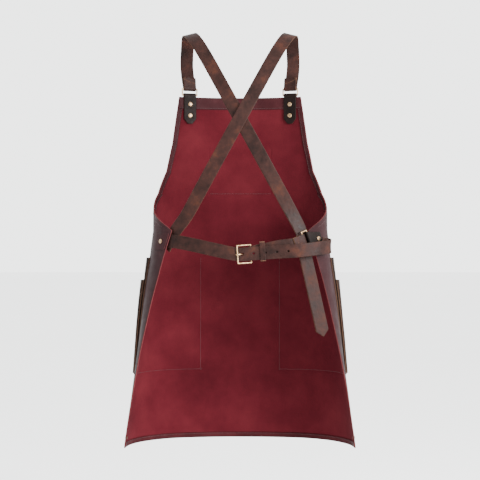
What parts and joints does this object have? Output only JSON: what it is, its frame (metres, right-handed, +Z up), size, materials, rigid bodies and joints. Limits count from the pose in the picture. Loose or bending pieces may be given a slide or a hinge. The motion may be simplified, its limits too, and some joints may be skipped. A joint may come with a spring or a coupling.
{
  "type": "cross-back leather work apron",
  "caption": "Leather work apron with a bib, wrapped skirt and side pockets, straps that cross at the back, and a buckled waist belt.",
  "frame": {"origin": "the place where the shoulder straps rest, midway between the two shoulders", "axes": "+Z up, +Y the wearer's front, +X the wearer's right"},
  "size_m": [0.518, 0.252, 0.9381],
  "materials": {
    "panel_leather": "matte burgundy leather, suede flesh side in, waxed grain side out",
    "facing_leather": "smooth plum grain, slightly glossy, stitched",
    "strap_leather": "distressed pull-up brown leather with pale raw edges",
    "tab_leather": "very dark brown smooth leather",
    "pocket_leather": "dark brown leather with tan raw edges",
    "brass": "antique brass, lightly worn"
  },
  "bodies": {
    "apron": {"left_bib_tab": "tab_leather", "right_bib_tab": "tab_leather", "front_panel": "panel_leather", "top_facing": "facing_leather", "bottom_facing": "facing_leather", "left_side_facing": "facing_leather", "left_tab_rivets": "brass", "left_shoulder_strap": "strap_leather", "right_side_facing": "facing_leather", "right_tab_rivets": "brass", "right_shoulder_strap": "strap_leather", "left_hand_pocket": "pocket_leather", "left_tool_pocket": "pocket_leather", "right_hand_pocket": "pocket_leather", "right_tool_pocket": "pocket_leather", "chest_pocket": "pocket_leather", "right_hip_tab": "tab_leather", "right_hip_rivet": "brass", "left_hip_patch": "panel_leather", "left_hip_rivet": "brass", "waist_belt": "strap_leather", "buckle_strap": "strap_leather", "hem_rivets": "brass"},
    "left_ring": {"left_bib_ring": "brass"},
    "right_ring": {"right_bib_ring": "brass"},
    "hip_ring": {"hip_ring": "brass"},
    "buckle": {"buckle_frame": "brass"},
    "prong": {"buckle_prong": "brass"},
    "keeper": {"belt_keeper": "strap_leather"},
    "tail": {"strap_tail": "strap_leather"}
  },
  "joints": [
    {"name": "left_ring_swing", "type": "hinge", "parent": "apron", "child": "left_ring", "pos_m": [-0.11808, 0.09039, -0.1275], "axis": [0.9339, 0.3576, 0], "range_deg": [-2.5, 2.5]},
    {"name": "right_ring_swing", "type": "hinge", "parent": "apron", "child": "right_ring", "pos_m": [0.11808, 0.09039, -0.1275], "axis": [0.9339, -0.3576, 0], "range_deg": [-2.5, 2.5]},
    {"name": "hip_ring_swing", "type": "hinge", "parent": "apron", "child": "hip_ring", "pos_m": [0.15241, -0.09076, -0.464], "axis": [-0.3135, -0.1237, 0.9415], "range_deg": [-2, 2]},
    {"name": "buckle_swing", "type": "hinge", "parent": "apron", "child": "buckle", "pos_m": [0.024, -0.1109, -0.497], "axis": [-0.0698, 0, 0.9976], "range_deg": [0, 2.5]},
    {"name": "prong_swing", "type": "hinge", "parent": "buckle", "child": "prong", "pos_m": [0.024, -0.1109, -0.497], "axis": [-0.0698, 0, 0.9976], "range_deg": [0, 1.5]},
    {"name": "keeper_slide", "type": "slide", "parent": "apron", "child": "keeper", "axis": [0.9976, 0, 0.0698], "range_m": [-0.007, 0.008]},
    {"name": "tail_swing", "type": "hinge", "parent": "apron", "child": "tail", "pos_m": [0.14699, -0.088, -0.50977], "axis": [-0.9328, -0.2933, -0.2093], "range_deg": [-6, 35]}
  ]
}
